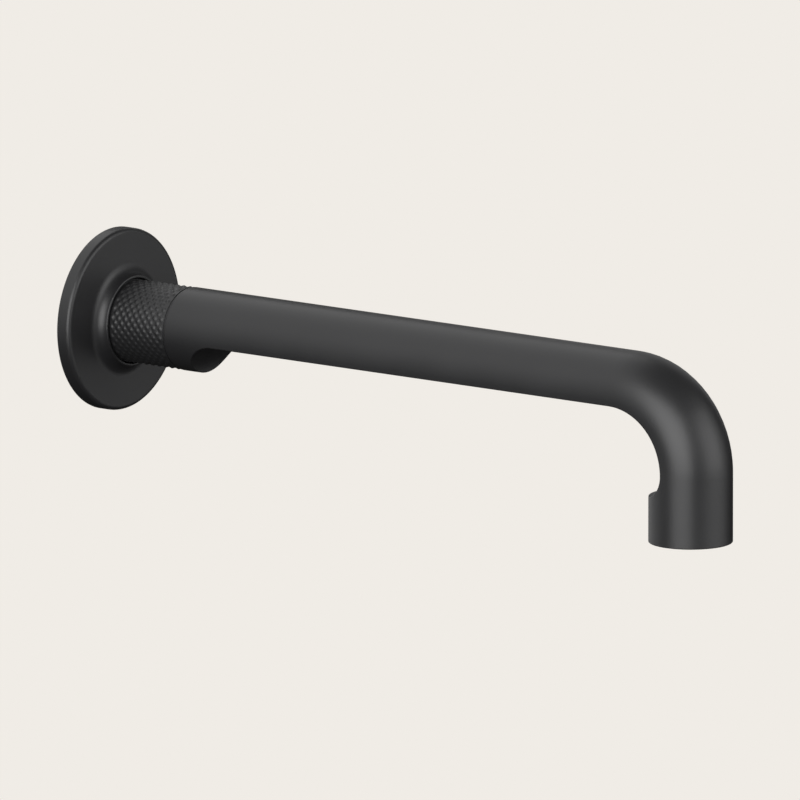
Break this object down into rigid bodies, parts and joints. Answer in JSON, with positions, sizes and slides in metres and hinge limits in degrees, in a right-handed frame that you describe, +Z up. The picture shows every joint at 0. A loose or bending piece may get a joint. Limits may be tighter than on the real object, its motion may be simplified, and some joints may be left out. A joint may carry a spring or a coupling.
{
  "type": "faucet spout",
  "caption": "Wall-mounted spout: straight arm with a flat underside, tight bend down to a round outlet, knurled collar and round coved wall flange; carries water from a wall fitting.",
  "frame": {"origin": "centre of the wall flange's back face, on the arm's axis", "axes": "+X out of the wall along the arm, +Z up, outlet pointing down along -Z"},
  "size_m": [0.2397, 0.0546, 0.0695],
  "materials": {
    "black_coat": "matte black powder coat",
    "brass": "machined",
    "rubber": "moulded",
    "foam_rubber": "die-cut",
    "steel": "plain stainless",
    "acetal": "moulded",
    "pale_acetal": "moulded"
  },
  "bodies": {
    "root": {"spout_arm": "black_coat", "knurled_collar": "black_coat", "wall_flange": "black_coat", "flange_seal": "rubber", "wall_gasket": "foam_rubber", "inlet_nipple": "brass", "nipple_o_rings": "rubber", "lock_screw": "steel", "aerator_washer": "rubber", "aerator_housing": "acetal", "aerator_honeycomb": "pale_acetal", "aerator_screen": "steel", "aerator_jet_plate": "acetal", "aerator_sieve": "steel"}
  },
  "joints": []
}
